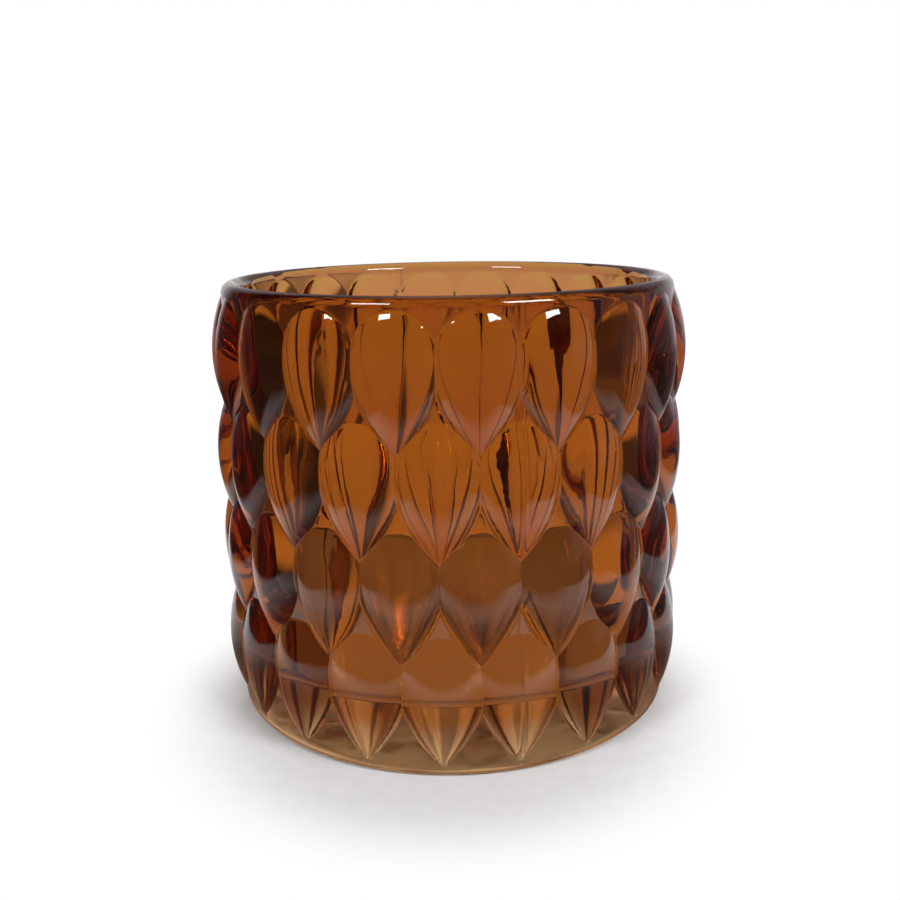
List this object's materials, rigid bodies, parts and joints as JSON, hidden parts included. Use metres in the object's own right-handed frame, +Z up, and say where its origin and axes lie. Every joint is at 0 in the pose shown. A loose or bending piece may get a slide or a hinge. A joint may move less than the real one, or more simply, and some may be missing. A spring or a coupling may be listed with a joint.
{
  "type": "tealight holder",
  "caption": "Round pressed-glass tealight holder: a thick-based cup with staggered rows of overlapping petals outside, a smooth inside and a full-round lip.",
  "frame": {"origin": "middle of the foot, on the surface that the cup stands on", "axes": "+Z up along the cup's axis, -Y through the middle of a petal of the lowest row"},
  "size_m": [0.0952, 0.0952, 0.0862],
  "materials": {
    "amber_glass": "clear pressed glass of an amber brown, fire-polished"
  },
  "bodies": {
    "root": {"glass_cup": "amber_glass"}
  },
  "joints": []
}
